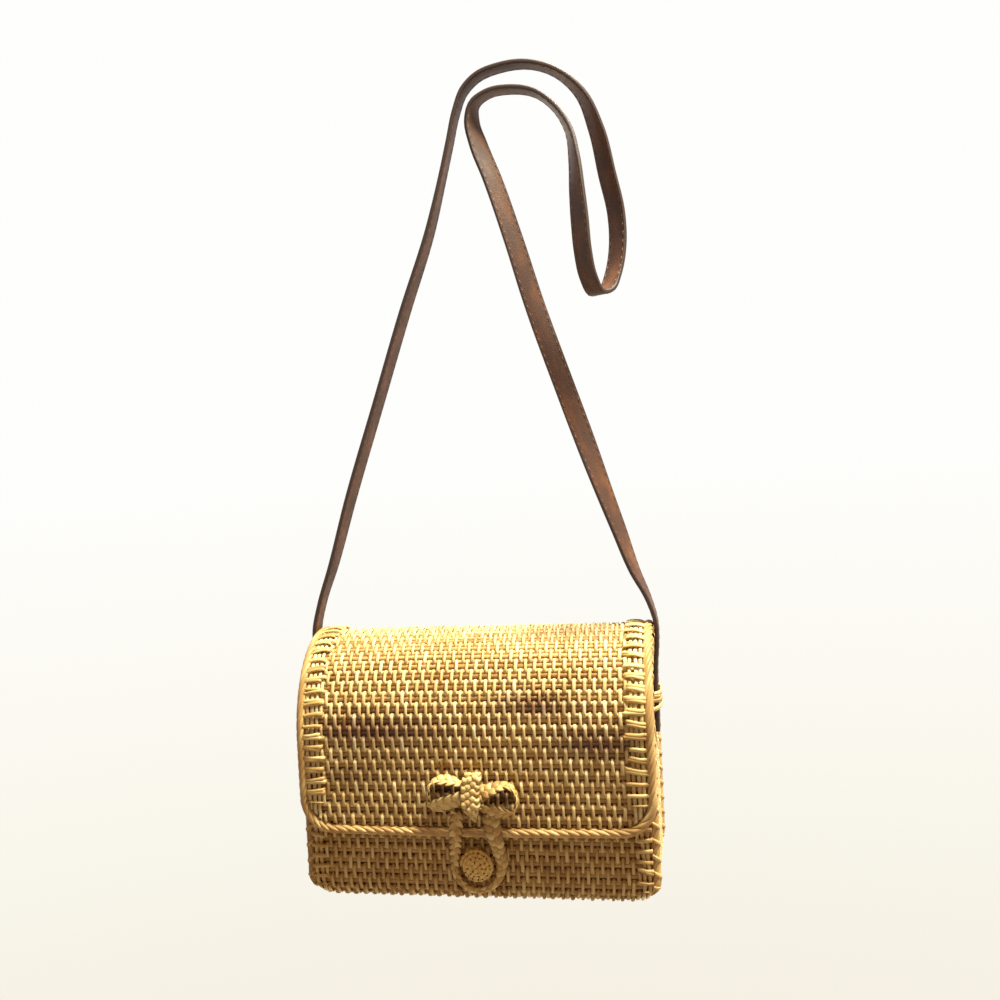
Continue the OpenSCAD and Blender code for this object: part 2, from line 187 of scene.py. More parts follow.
def bevel_all(offset, segments):
    bpy.ops.object.mode_set(mode="EDIT")
    bpy.ops.mesh.select_all(action="SELECT")
    bpy.ops.mesh.bevel(offset=offset * MM, segments=segments)
    bpy.ops.object.mode_set(mode="OBJECT")


# %% Trim a piece, and close its cut ends
def trim(obj, outside, close=True):
    only(obj)
    gone = outside(points_of(obj))
    bpy.ops.object.mode_set(mode="EDIT")
    bpy.ops.mesh.select_mode(type="VERT")
    bpy.ops.mesh.select_all(action="DESELECT")
    mesh = bmesh.from_edit_mesh(obj.data)
    mesh.verts.ensure_lookup_table()
    for i in np.flatnonzero(gone):
        mesh.verts[i].select_set(True)
    bmesh.update_edit_mesh(obj.data)
    bpy.ops.mesh.delete(type="VERT")
    if close:
        bpy.ops.mesh.select_all(action="SELECT")
        bpy.ops.mesh.fill_holes(sides=0)
    bpy.ops.object.mode_set(mode="OBJECT")


# %% Routes
def smooth_route(points, side, step=1.5):
    points, side = np.asarray(points, float), np.asarray(side, float)
    chord = np.r_[0, np.cumsum(np.linalg.norm(np.diff(points, axis=0), axis=1))]
    both = np.hstack([points, side])
    slope = np.gradient(both, chord, axis=0)
    fine = np.linspace(0, chord[-1], max(8, int(chord[-1] / step)))
    i = np.clip(np.searchsorted(chord, fine, side="right") - 1, 0, len(chord) - 2)
    h = (chord[i + 1] - chord[i])[:, None]
    t = ((fine - chord[i]) / h[:, 0])[:, None]
    out = ((1 + 2 * t) * (1 - t) ** 2 * both[i] + t * (1 - t) ** 2 * h * slope[i]
           + t * t * (3 - 2 * t) * both[i + 1] + t * t * (t - 1) * h * slope[i + 1])
    return out[:, :3], out[:, 3:]


def length_of(points):
    return float(np.linalg.norm(np.diff(points, axis=0), axis=1).sum())


def lay(obj, route):
    points, side = route
    run = np.r_[0, np.cumsum(np.linalg.norm(np.diff(points, axis=0), axis=1))]
    heading = np.gradient(points, run, axis=0)
    p = points_of(obj)
    x = np.clip(p[:, 0], 0, run[-1])
    spread = [np.stack([np.interp(x, run, a[:, k]) for k in range(3)], axis=1)
              for a in (points, heading, side)]
    place, t, b = spread
    t /= np.linalg.norm(t, axis=1, keepdims=True)
    b -= t * np.sum(b * t, axis=1, keepdims=True)
    b /= np.linalg.norm(b, axis=1, keepdims=True)
    n = np.cross(t, b)
    move_points(obj, place + b * p[:, 1:2] + n * p[:, 2:3] + t * (p[:, :1] - x[:, None]))


# %% A finished piece: its material, body and the solids it stands for
def finish_piece(obj, body, material, slot, *nodes):
    obj.data.materials.clear()
    obj.data.materials.append(material)
    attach(obj, body)
    if nodes:
        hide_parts(*nodes)
    obj.data.calc_loop_triangles()
    print(obj.name, "on", body, "triangles:", len(obj.data.loop_triangles))


# %% [markdown]
# Materials
#
# The bag is made of dried grass, here in six tones, oiled leather and waxed thread. One pattern over
# the whole bag would run straight through every bend. So each strand carries three marks that the
# grass reads: its place along and across the fibre, its own tone, and how much it is darkened, by
# real stains and by painted shade. One function turns the written hex colours to linear light, and
# one adds a node with its settings and links.

# %% Colour and node helpers
def linear(code):
    parts = [int(code[i:i + 2], 16) / 255 for i in (1, 3, 5)]
    return tuple(c / 12.92 if c <= 0.04045 else ((c + 0.055) / 1.055) ** 2.4 for c in parts) + (1.0,)


def add(tree, kind, settings, links=()):
    made = tree.nodes.new("ShaderNode" + kind)
    for name, value in settings.items():
        if name == "stops":
            ramp = made.color_ramp.elements
            while len(ramp) < len(value):
                ramp.new(0.5)
            for element, (place, code) in zip(ramp, value):
                element.position = place
                element.color = linear(code)
        elif isinstance(name, str) and hasattr(made, name):
            setattr(made, name, value)
        else:
            made.inputs[name].default_value = value
    for name, (source, output) in dict(links).items():
        tree.links.new(source.outputs[output], made.inputs[name])
    return made


def blank(name):
    material = bpy.data.materials.new(name)
    material.use_nodes = True
    material.node_tree.nodes.clear()
    return material, material.node_tree


# %% Grass: split vine and bundled stalks, sun dried, smoked and rubbed to a soft shine
# How much the fine streaks and the slow patches add to a strand's own tone
STREAK_SHARE, PATCH_SHARE = 0.45, 0.7


def grass(name, dark, middle, pale, stains_and_shade, rough):
    material, tree = blank(name)
    fibre = add(tree, "Attribute", {"attribute_name": "fibre"})
    tone = add(tree, "Attribute", {"attribute_name": "tone"})
    stain = add(tree, "Attribute", {"attribute_name": "stain"})
    # Real fibres are about 0.2 mm wide; drawn 0.6 mm wide and 14 mm long so that they show
    along = add(tree, "Mapping", {"Scale": (1 / 14, 1 / 0.6, 1 / 0.6)}, {"Vector": (fibre, "Vector")})
    streak = add(tree, "TexNoise", {"Scale": 1.0, "Detail": 3.0}, {"Vector": (along, "Vector")})
    # A stalk changes colour over about 25 mm of its length
    slow = add(tree, "Mapping", {"Scale": (1 / 25, 1 / 6, 1 / 6)}, {"Vector": (fibre, "Vector")})
    patch = add(tree, "TexNoise", {"Scale": 1.0, "Detail": 2.0}, {"Vector": (slow, "Vector")})
    part = add(tree, "Math", {"operation": "MULTIPLY_ADD", 1: STREAK_SHARE},
               {0: (streak, "Fac"), 2: (tone, "Fac")})
    whole = add(tree, "Math", {"operation": "MULTIPLY_ADD", 1: PATCH_SHARE},
                {0: (patch, "Fac"), 2: (part, "Value")})
    shift = add(tree, "Math", {"operation": "SUBTRACT", 1: (STREAK_SHARE + PATCH_SHARE) / 2},
                {0: (whole, "Value")})
    ramp = add(tree, "ValToRGB", {"stops": [(0.0, dark), (0.5, middle), (1.0, pale)]},
               {"Fac": (shift, "Value")})
    # The third mark darkens the colour: by real smoke stains, and by painted shade inside the bow's
    # loops, where plait strands go under and on the knot's core
    stained_and_shaded = add(tree, "Mix", {"data_type": "RGBA", "blend_type": "MULTIPLY"},
               {0: (stain, "Fac"), 6: (ramp, "Color")})
    stained_and_shaded.inputs[7].default_value = linear(stains_and_shade)
    gloss = add(tree, "MapRange", {"To Min": rough - 0.1, "To Max": rough + 0.15},
                {"Value": (streak, "Fac")})
    bump = add(tree, "Bump", {"Strength": 0.35, "Distance": 0.0003}, {"Height": (streak, "Fac")})
    shader = add(tree, "BsdfPrincipled", {"IOR": 1.45}, {
        "Base Color": (stained_and_shaded, 2), "Roughness": (gloss, "Result"), "Normal": (bump, "Normal")})
    add(tree, "OutputMaterial", {}, {"Surface": (shader, "BSDF")})
    return material


# The split vine is the palest and has the most shine, so its bars stand out from the bundles. Rope,
# plait and coil are browner and duller. The filling is painted dark: painted shade for the slits of
# the weave and the holes of the button.
vine = grass("split_vine_smoked", "#a87c3a", "#e4ca8e", "#f8ecc2", "#86584a", 0.36)
bundle = grass("grass_bundle_smoked", "#9a7034", "#dab878", "#f4e0aa", "#7c5244", 0.4)
rope_grass = grass("grass_rope_twisted", "#946a38", "#cba566", "#e8cd92", "#8a6048", 0.42)
plait_grass = grass("grass_plait", "#a3763c", "#d8b672", "#f0dca0", "#8a6048", 0.42)
coil_grass = grass("grass_coil_golden", "#a87c3a", "#e2bc6c", "#f2d68e", "#8a6048", 0.42)
filling_shade = grass("grass_filling_painted_shade", "#46290c", "#5e3a10", "#764e18", "#80583f", 0.6)
print("grass finishes:", [m.name for m in (vine, bundle, rope_grass, plait_grass, coil_grass, filling_shade)])

# %% Leather: vegetable tanned and oiled, mottled brown and half matt, with burnished edges
# Soft highlights along the bends and the darker edges tell the eye that this is hide, not plastic
leather, tree = blank("leather_oiled_strap")
hide = add(tree, "Attribute", {"attribute_name": "fibre"})
across = add(tree, "SeparateXYZ", {}, {"Vector": (hide, "Vector")})
# Dye patches are 15 to 30 mm long; the grain's pebbles are 0.7 mm, drawn at that size
dye_scale = add(tree, "Mapping", {"Scale": (1 / 22, 1 / 9, 1 / 9)}, {"Vector": (hide, "Vector")})
dye = add(tree, "TexNoise", {"Scale": 1.0, "Detail": 5.0, "Roughness": 0.62},
          {"Vector": (dye_scale, "Vector")})
browns = [(0.3, "#3a2415"), (0.5, "#533320"), (0.62, "#694227"), (0.75, "#7a5032")]
colour = add(tree, "ValToRGB", {"stops": browns}, {"Fac": (dye, "Fac")})
edge = add(tree, "Math", {"operation": "ABSOLUTE"}, {0: (across, "Y")})
burn = add(tree, "MapRange", {"From Min": 4.9, "From Max": 5.9}, {"Value": (edge, "Value")})
burnt = add(tree, "Mix", {"data_type": "RGBA"}, {0: (burn, "Result"), 6: (colour, "Color")})
burnt.inputs[7].default_value = linear("#362114")
pebble = add(tree, "TexVoronoi", {"Scale": 1 / 0.7}, {"Vector": (hide, "Vector")})
grain = add(tree, "Bump", {"Strength": 0.3, "Distance": 0.0002}, {"Height": (pebble, "Distance")})
gloss = add(tree, "MapRange", {"From Min": 0.3, "From Max": 0.7, "To Min": 0.56, "To Max": 0.44},
            {"Value": (dye, "Fac")})
shader = add(tree, "BsdfPrincipled", {"IOR": 1.48}, {
    "Base Color": (burnt, 2), "Roughness": (gloss, "Result"), "Normal": (grain, "Normal")})
add(tree, "OutputMaterial", {}, {"Surface": (shader, "BSDF")})

# %% Waxed thread, twisted and as brown as the leather, so the seams show only as fine dashes
thread, tree = blank("waxed_thread")
lie = add(tree, "Attribute", {"attribute_name": "fibre"})
twist = add(tree, "TexWave", {"Scale": 0.6, "Distortion": 1.0}, {"Vector": (lie, "Vector")})
shade = add(tree, "ValToRGB", {"stops": [(0.0, "#3a2415"), (1.0, "#6c482e")]}, {"Fac": (twist, "Fac")})
shader = add(tree, "BsdfPrincipled", {"Roughness": 0.5}, {"Base Color": (shade, "Color")})
add(tree, "OutputMaterial", {}, {"Surface": (shader, "BSDF")})
print("strap finishes:", leather.name, thread.name)

# %% [markdown]
# Strap
#
# The strap is two thin layers of leather sewn along both edges, 12 mm wide. A flat curve could
# follow its route, but its stitches have to lie on it wherever it turns, so both are made straight
# and laid along one route. A cube is stretched to the strap's length, its long edges are bevelled
# and it is cut into short lengths. The last number of a point is the angle of the strap's width,
# because the strap turns as it hangs.

# %% The strap's route
STRAP_W, STRAP_T = 12, 2.4
strap_points = np.array([
    (-101.2, 0, -368, 0), (-101.2, 0, -355, 0), (-101.2, 0, -340, 0), (-101.6, 0, -330, 0),
    (-102.7, 0, -318, 0), (-102.7, 0, -306, 0), (-99, 0, -291, 0), (-90, 0, -267, 5),
    (-77, 0, -228, 10), (-55, 0, -168, 10), (-37, 0, -119, 10), (-18, 0, -70, 5), (-9, 0, -40, 0),
    (-4, 0, -22, 0), (1, 0, -4, 0), (6, 0, 7, 0), (14, 0, 14, 0), (28, 0, 18, 0), (44, 0, 18, 0),
    (60, 1, 12, -10), (73, 4, 0, -25), (81, 8, -20, -45),
    (86, 11, -46, -56), (90, 13, -68, -56), (90, 12, -88, -56), (87, 8, -104, -56), (83, 2, -114, -56),
    (78, -5, -116, -56), (74, -10, -107, -56), (72, -12, -94, -56), (71, -12, -76, -56),
    (70, -10, -58, -45), (69, -7, -40, -30), (66, -4, -22, -15), (58, -2, -8, -5), (46, 0, 2, 0),
    (32, 0, 5, 0), (20, 0, 4, 0), (12, 0, -1, 10), (10, 0, -10, 30), (13, 0, -24, 50), (20, 0, -44, 55),
    (31, 0, -81, 60), (41, 0, -118, 70), (57, 0, -169, 85), (66, 0, -197, 70), (75, 0, -225, 50),
    (84, 0, -252, 35), (92, 0, -276, 20), (99, 0, -292, 5), (102.7, 0, -306, 0), (102.7, 0, -318, 0),
    (101.6, 0, -330, 0), (101.2, 0, -340, 0), (101.2, 0, -355, 0), (101.2, 0, -368, 0)], float)
width_angle = np.radians(strap_points[:, 3])
strap_side = np.stack([np.sin(width_angle), np.cos(width_angle), 0 * width_angle], axis=1)
strap_route = smooth_route(strap_points[:, :3], strap_side, 2.5)
strap_length = length_of(strap_route[0])
print("strap length in mm:", round(strap_length, 1))

# %% The leather
strap = start(bpy.ops.mesh.primitive_cube_add, (strap_length, STRAP_W, STRAP_T), size=MM,
              location=(strap_length * MM / 2, 0, 0))
strap.name = strap.data.name = "strap_leather"
pick_edges_along_x(strap, strap_length / 2)
bpy.ops.mesh.bevel(offset=0.7 * MM, segments=3)
cut_along_x(strap, strap_length, 480)
bpy.ops.object.shade_smooth_by_angle(angle=math.radians(40))
tint(strap)
mark(strap, "fibre", points_of(strap))
lay(strap, strap_route)
finish_piece(strap, "root", leather, "strap_leather", "strap")

# %% The two rows of stitches, on both faces
STITCH_STEP, STITCH_SIZE = 5.0, (3.2, 0.7, 0.5)
SEAM_Y, SEAM_Z = 4.6, 1.1
stitch_count = int(strap_length / STITCH_STEP) - 1
rows_of_stitches = []
for face in (-1, 1):
    for edge_side in (-1, 1):
        stitch = start(bpy.ops.mesh.primitive_cube_add, STITCH_SIZE, size=MM,
                       location=(STITCH_STEP * MM, edge_side * SEAM_Y * MM, face * SEAM_Z * MM))
        bevel_all(0.2, 1)
        bpy.ops.object.shade_smooth()
        rows_of_stitches.append(repeat(stitch, stitch_count, (STITCH_STEP, 0, 0)))
strap_stitches = join("strap_stitches", rows_of_stitches)
mark(strap_stitches, "fibre", points_of(strap_stitches))
lay(strap_stitches, strap_route)
finish_piece(strap_stitches, "root", thread, "strap_leather")

# %% [markdown]
# The weave
#
# Each row is a pair of grass bundles, a thin proud one above and a thicker one set back below it. A
# vine strand lies over three bundles and dives under the fourth, and its neighbours do the same one
# row later. So each row shows bright bars, bright patches between them and dark pockets below. A
# filling closes the pockets, and its dark colour is painted shade. Along the sides the last strands
# aren't woven. They lie on top of the bundles as a band, and lashing stitches hold them. A mat has up
# to 69 strands, too many to bend one by one. So a strand is modelled and repeated, and one rule then
# moves all the rings at once.

# %% Sizes of the weave
STRAND_PITCH = 2.75
STRAND_W, STRAND_T = 2.05, 1.2
# Where a strand has its rings in two rows, and how high it lies there: it dives between 0 and 0.6
RINGS = [0, 0.2, 0.42, 0.6, 0.76, 1, 1.2, 1.4, 1.62, 1.84, 2]
HEIGHTS = [0.5, -1.8, -1.8, 0.3, 1.6, 1.9, 2.05, 2.1, 2.15, 2.05, 0.5]
# The upper and the lower bundle of a row: place and width as shares of the row, thickness, height
BUNDLES = [(0.8, 0.4, 2.0, 0.45), (0.4, 0.44, 2.1, -0.1)]
# Over this run up from the lid's lower edge its strands are painted darker: painted shade on the
# lid's low front wall
LOW_SHADE_RUN = 45
# The filling's place in the wall and its thickness
FILLING_Z, FILLING_T = -0.75, 0.3


def settle(z):
    # The inner face of a wall is pressed flatter than its outer face
    return np.where(z > 0, z, 0.55 * z) - 0.5


# %% The strands of a flat mat
def strands_up(name, length, rows, half, band, tone=0.52, low_shade=0.0):
    count = 2 * int(half / STRAND_PITCH) + 1
    pitch = 2 * half / (count - 1)
    row = length / rows
    halves = []
    for parity in (0, 1):
        one = strand(name, length, rows * 5, 6, STRAND_W, STRAND_T)
        p = points_of(one)
        p[:, 1] += parity * pitch - half
        move_points(one, p)
        halves.append(repeat(one, (count + 1 - parity) // 2, (0, 2 * pitch, 0)))
    mat = join(name, halves)
    p = points_of(mat)
    number = np.clip(np.round((p[:, 1] + half) / pitch).astype(int), 0, count - 1)
    middle = number * pitch - half
    y, z = p[:, 1] - middle, p[:, 2]
    # Six draws a strand: three for its sway, one for its width, one for its tone and one spare
    wander = rng.normal(0, 1, (count, 6))
    phase = p[:, 0, None] / np.array([31.0, 55.0, 90.0]) * 2 * np.pi + wander[number, :3] * 3
    sway = 0.17 * np.sin(phase).sum(axis=1)
    even = p[:, 0] / row + number % 2
    turn = np.floor(even / 2 + 1e-4).astype(int)
    even = np.clip(even - 2 * turn, 0, 2)
    place = np.interp(even, np.linspace(0, 2, len(RINGS)), RINGS)
    wave = np.interp(place, RINGS, HEIGHTS)
    wave += rng.normal(0, 0.14, (count, rows))[number, turn] * (wave > 1)
    wave = np.where(np.abs(middle) > band, 1.5 + 0.8 * np.abs(np.sin(np.pi * p[:, 0] / row)), wave)
    size = 1 + 0.11 * wander[number, 3]
    mark(mat, "fibre", np.stack([p[:, 0] + 137.0 * number, y, z], axis=1))
    # Painted shade: towards the mat's start the tone is lowered
    tone = tone - low_shade * np.clip(1 - p[:, 0] / LOW_SHADE_RUN, 0, 1)
    mark(mat, "tone", np.clip(tone + 0.07 * wander[number, 4] + 0.05 * np.sin(phase[:, 0])
                              + 0.1 * rng.normal(0, 1, (count, rows))[number, turn]
                              + 0.2 * (np.abs(middle) > band), 0, 1))
    p[:, 0] = np.clip((2 * turn + place - number % 2) * row, 0, length)
    p[:, 1] = middle + sway + y * np.clip(size, 0.75, 1.1)
    p[:, 2] = settle(z + wave)
    move_points(mat, p)
    return mat


# %% The bundles of a flat mat
def stalks_across(name, length, rows, half, tones=(0.2, 0.5)):
    row = length / rows
    pairs = []
    for place, share, thick, height in BUNDLES:
        one = strand(name, 2 * half, 36, 10, row * share, thick)
        p = points_of(one)
        move_points(one, np.stack([-p[:, 1] + row * place, p[:, 0] - half, p[:, 2] + height], axis=1))
        pairs.append(repeat(one, rows, (row, 0, 0)))
    mat = join(name, pairs)
    p = points_of(mat)
    whole = np.clip(np.floor(p[:, 0] / row).astype(int), 0, rows - 1)
    number = 2 * whole + (p[:, 0] / row - whole > 0.6)
    # Five draws a bundle: two for its sway, one for its tone and two spare
    wander = rng.normal(0, 1, (2 * rows, 5))
    phase = p[:, 1, None] / np.array([37.0, 71.0]) * 2 * np.pi + wander[number, :2] * 3
    mark(mat, "fibre", np.stack([p[:, 1] + 211.0 * number, p[:, 0], p[:, 2]], axis=1))
    # The lower bundle is painted darker than the upper one: painted shade under the proud upper bundle
    mark(mat, "tone", np.clip(np.array(tones)[number % 2] + 0.1 * wander[number, 2]
                              + 0.06 * np.sin(phase).sum(axis=1), 0, 1))
    p[:, 0] += 0.1 * np.sin(phase).sum(axis=1)
    p[:, 2] = settle(p[:, 2] + 0.08 * np.cos(phase).sum(axis=1))
    move_points(mat, p)
    return mat


# %% The filling of a flat mat, a thin sheet whose dark colour is painted shade behind the slits
def filling_sheet(name, length, half, cell=4.0, outside=None):
    sheet = start(bpy.ops.mesh.primitive_grid_add, (length, 2 * half, 1), size=MM,
                  x_subdivisions=int(length / cell), y_subdivisions=int(2 * half / cell),
                  location=(length * MM / 2, 0, FILLING_Z * MM))
    if outside:
        trim(sheet, outside, close=False)
    bpy.ops.object.mode_set(mode="EDIT")
    bpy.ops.mesh.select_all(action="SELECT")
    bpy.ops.mesh.extrude_region_move(TRANSFORM_OT_translate={"value": (0, 0, FILLING_T * MM)})
    bpy.ops.mesh.select_all(action="SELECT")
    bpy.ops.mesh.normals_make_consistent(inside=False)
    bpy.ops.object.mode_set(mode="OBJECT")
    sheet.name = sheet.data.name = name
    tint(sheet, 0.5)
    return sheet


print("strands every", STRAND_PITCH, "mm, rings in two rows:", len(RINGS) - 1)

# %% [markdown]
# Lid
#
# The lid goes straight up the front, over the crown in half an ellipse and down to the hinge rope
# at the back. A bend modifier makes only round arcs, and the crown isn't round. So the mat is woven
# flat, its two lower corners are cut round, and it is laid along the middle of the wall.

# %% The lid's route
# Heights of the lid's lower edge and of the shoulder, rise of the crown, distance from the middle
LID_LOW, SHOULDER, CROWN, LID_Y = 44.2, 90.0, 56.0, 45.5
# Half the mat's width, where its side bands begin, and the radius of its lower corners
LID_HALF, LID_BAND, LID_CORNER = 95.8, 87.5, 15
# Smoke stains and painted shade: x, height, half width, half height, depth. The last two are
# painted shade inside the bow's loops
STAINS_AND_SHADE = [
    (-58, 97.5, 44, 8, 0.9), (36, 110.5, 24, 6.5, 0.85), (70, 90, 26, 8, 0.8), (-80, 72, 22, 5, 0.5),
    (-46, 83, 30, 8, 0.12), (55, 146, 30, 3, 0.6), (-16, 64.5, 7, 5, 0.9), (18.5, 61, 6.5, 4.5, 0.9)]
arch = np.radians(np.linspace(0, 180, 121))


def lid_profile(out):
    front = [(0, -LID_Y - out, z) for z in np.linspace(LID_LOW, SHOULDER, 31)[:-1]]
    crown = [(0, -(LID_Y + out) * math.cos(t), SHOULDER + (CROWN + out) * math.sin(t)) for t in arch]
    return np.array(front + crown) - (0, 0, HOLD)


lid_line = lid_profile(0)
to_left = np.tile((-1.0, 0, 0), (len(lid_line), 1))
lid_route = (lid_line, to_left)
lid_length = length_of(lid_line)
lid_rows = 33
lid_row = lid_length / lid_rows
print("lid rows:", lid_rows, "of", round(lid_row, 2), "mm")


# %% The lid's mat, its round corners, its stains and its painted shade
def past_corner(p):
    dx = np.abs(p[:, 1]) - (LID_HALF - LID_CORNER)
    dz = LID_CORNER - p[:, 0]
    return (dx > 0) & (dz > 0) & (dx * dx + dz * dz > LID_CORNER ** 2)


def stains_and_shade(p):
    out = np.zeros(len(p))
    for x, z, wide, high, depth in STAINS_AND_SHADE:
        away = ((p[:, 0] - x) / wide) ** 2 + ((p[:, 2] + HOLD - z) / high) ** 2
        out = np.maximum(out, depth * np.exp(-away))
    return np.where(p[:, 1] < 0, out, 0)


lid_strands = strands_up("lid_strands", lid_length, lid_rows, LID_HALF - 1.4, LID_BAND, low_shade=0.2)
lid_stalks = stalks_across("lid_stalks", lid_length, lid_rows, LID_HALF)
for mat in (lid_strands, lid_stalks):
    trim(mat, past_corner)
lid_filling = filling_sheet("lid_filling", lid_length, LID_HALF, outside=past_corner)
for mat in (lid_strands, lid_stalks, lid_filling):
    lay(mat, lid_route)
    mark(mat, "stain", stains_and_shade(points_of(mat)))
finish_piece(lid_strands, "lid", vine, "woven_grass", "lid_mat")
finish_piece(lid_stalks, "lid", bundle, "woven_grass")
finish_piece(lid_filling, "lid", filling_shade, "woven_grass")

# %% [markdown]
# Body and ends
#
# The body is one mat that runs down the back, under the base and up the front. Three flat walls
# would be simpler, but in one mat the strands go round the lower edges without a break. Each end is
# a flat mat, woven square and then trimmed to the shape of the arch, so its strands stay in step.

# %% The body's route and its rows
# Distance of the walls from the middle, radius of their turn, heights of their top and of the base
BODY_Y, BASE_R, WALL, BASE_Z = 40.0, 5.0, 84.0, 2
FLAT, TURN_Z = BODY_Y - BASE_R, BASE_Z + BASE_R
# Half the mat's width, the outermost strand, and where the side bands begin
BODY_HALF, BODY_LAST, BODY_BAND = 96.8, 94.6, 90
WALL_ROWS, TURN_ROWS, BASE_ROWS = 13, 2, 11
quarter = np.radians(np.linspace(0, 90, 9))[1:-1]
body_line = np.vstack([
    [(0, BODY_Y, z) for z in np.linspace(WALL, TURN_Z, 30)],
    [(0, FLAT + BASE_R * math.cos(t), TURN_Z - BASE_R * math.sin(t)) for t in quarter],
    [(0, y, BASE_Z) for y in np.linspace(FLAT, -FLAT, 30)],
    [(0, -FLAT - BASE_R * math.sin(t), TURN_Z - BASE_R * math.cos(t)) for t in quarter],
    [(0, -BODY_Y, z) for z in np.linspace(TURN_Z, WALL, 30)]]) - (0, 0, HOLD)
body_route = (body_line, np.tile((-1.0, 0, 0), (len(body_line), 1)))
body_length = length_of(body_line)
body_counts = (WALL_ROWS, TURN_ROWS, BASE_ROWS, TURN_ROWS, WALL_ROWS)
wall_length = WALL - TURN_Z
turn_length = (body_length - 2 * wall_length - 2 * FLAT) / 2
body_lengths = (wall_length, turn_length, 2 * FLAT, turn_length, wall_length)
body_rows = sum(body_counts)
print("body rows:", body_rows)


def onto_rows(obj, counts, lengths):
    ends = np.r_[0, np.cumsum(counts)] * sum(lengths) / sum(counts)
    p = points_of(obj)
    p[:, 0] = np.interp(p[:, 0], ends, np.r_[0, np.cumsum(lengths)])
    move_points(obj, p)


# %% The body's mat and its soft corners
# The lower corners are drawn in and up a little, as the weaver's pull leaves them: up to this
# height, from this distance to the middle on, lifted by so many mm and drawn in by this share
SOFT_HIGH, SOFT_X, SOFT_LIFT, SOFT_SHARE = 14, 86, 5.5, 0.022


def soften_corners(obj):
    p = points_of(obj)
    low = np.clip(1 - (p[:, 2] + HOLD) / SOFT_HIGH, 0, 1)
    out = np.clip((np.abs(p[:, 0]) - SOFT_X) / SOFT_HIGH, 0, 1.1)
    p[:, 2] += SOFT_LIFT * out ** 2 * low
    p[:, 0] *= 1 - SOFT_SHARE * low ** 2
    move_points(obj, p)


# The body's strands get a darker tone than the lid's: painted shade, as the body hangs in shade under the
# lid
body_strands = strands_up("body_strands", body_length, body_rows, BODY_LAST, BODY_BAND, tone=0.36)
body_stalks = stalks_across("body_stalks", body_length, body_rows, BODY_HALF, tones=(0.3, 0.4))
body_filling = filling_sheet("body_filling", body_length, BODY_HALF)
for mat in (body_strands, body_stalks, body_filling):
    onto_rows(mat, body_counts, body_lengths)
    lay(mat, body_route)
    soften_corners(mat)
finish_piece(body_strands, "root", vine, "woven_grass", "body_mat")
finish_piece(body_stalks, "root", bundle, "woven_grass")
finish_piece(body_filling, "root", filling_shade, "woven_grass")

# %% The two end mats
# Height of the lower edge, half the width, rise of the arch, distance from the middle, one row
END_LOW, END_HALF, END_RISE, END_X, END_ROW = 4.0, 38.2, 48.8, 97.5, 6.14
# A band that begins beyond the mat is no band
NO_BAND = 99
end_length = SHOULDER + END_RISE - END_LOW
end_rows = round(end_length / END_ROW)


def outside_arch(p):
    over = np.clip((p[:, 0] + END_LOW - SHOULDER) / END_RISE, 0, 1)
    return np.abs(p[:, 1]) > END_HALF * np.sqrt(1 - over ** 2) + 0.01 + (over <= 0) * 3


for word, sign in SIDES:
    line = np.array([(sign * END_X, 0, z - HOLD) for z in np.linspace(END_LOW, END_LOW + end_length, 40)])
    route = (line, np.tile((0.0, -sign, 0), (len(line), 1)))
    end_strands = strands_up("end_strands_" + word, end_length, end_rows, END_HALF, NO_BAND)
    end_stalks = stalks_across("end_stalks_" + word, end_length, end_rows, END_HALF)
    for mat in (end_strands, end_stalks):
        trim(mat, outside_arch)
    end_filling = filling_sheet("end_filling_" + word, end_length, END_HALF, 2.0, outside_arch)
    for mat in (end_strands, end_stalks, end_filling):
        lay(mat, route)
        soften_corners(mat)
    finish_piece(end_strands, "root", vine, "woven_grass", "end_panel_" + word)
    finish_piece(end_stalks, "root", bundle, "woven_grass")
    finish_piece(end_filling, "root", filling_shade, "woven_grass")

# %% [markdown]
# Ropes
#
# Every edge is bound with a rope of five twisted plies. A round tube with a twisted bump would keep
# a smooth outline, so the plies are real. A ply is a strand whose rings are turned round the rope's
# middle, by one full turn in 34 mm, or in 27 mm on the lid's thicker rope. The five plies are
# joined and laid along the edge. On the end ropes a flat lashing strand is wound over the plies in
# wide turns.

# %% A twisted rope
# Width, thickness and distance from the rope's middle, of a ply and of the lashing wound over it.
# A rope's way is 1 or -1, the side to which its plies turn
PLY_W, PLY_T, PLY_R = 2.5, 2.0, 1.5
WRAP_W, WRAP_T, WRAP_R = 2.2, 0.8, 2.55


def rope(name, length, way=1, plies=5, lay_length=34.0, wrap=0.0, size=1.0):
    turns = round(length / lay_length)
    made = []
    for k in range(plies):
        ply = strand(name, length, 12 * int(length / 21.6), 6, PLY_W * size, PLY_T * size)
        p = points_of(ply)
        t = way * 2 * np.pi * turns * p[:, 0] / length + 2 * np.pi * k / plies
        r = PLY_R * size + p[:, 2]
        move_points(ply, np.stack([p[:, 0], r * np.cos(t) + p[:, 1] * np.sin(t),
                                   r * np.sin(t) - p[:, 1] * np.cos(t)], axis=1))
        made.append(ply)
    if wrap:
        turns = round(length / wrap)
        coil = strand(name, length, turns * 14, 6, WRAP_W, WRAP_T)
        p = points_of(coil)
        t = -way * 2 * np.pi * turns * p[:, 0] / length
        r = WRAP_R + p[:, 2]
        # The wrap's width lies square to its slanting run
        lean = way * 0.45 * p[:, 1]
        move_points(coil, np.stack([p[:, 0] + p[:, 1] * 0.88, r * np.cos(t) - lean * np.sin(t),
                                    r * np.sin(t) + lean * np.cos(t)], axis=1))
        made.append(coil)
    return join(name, made)


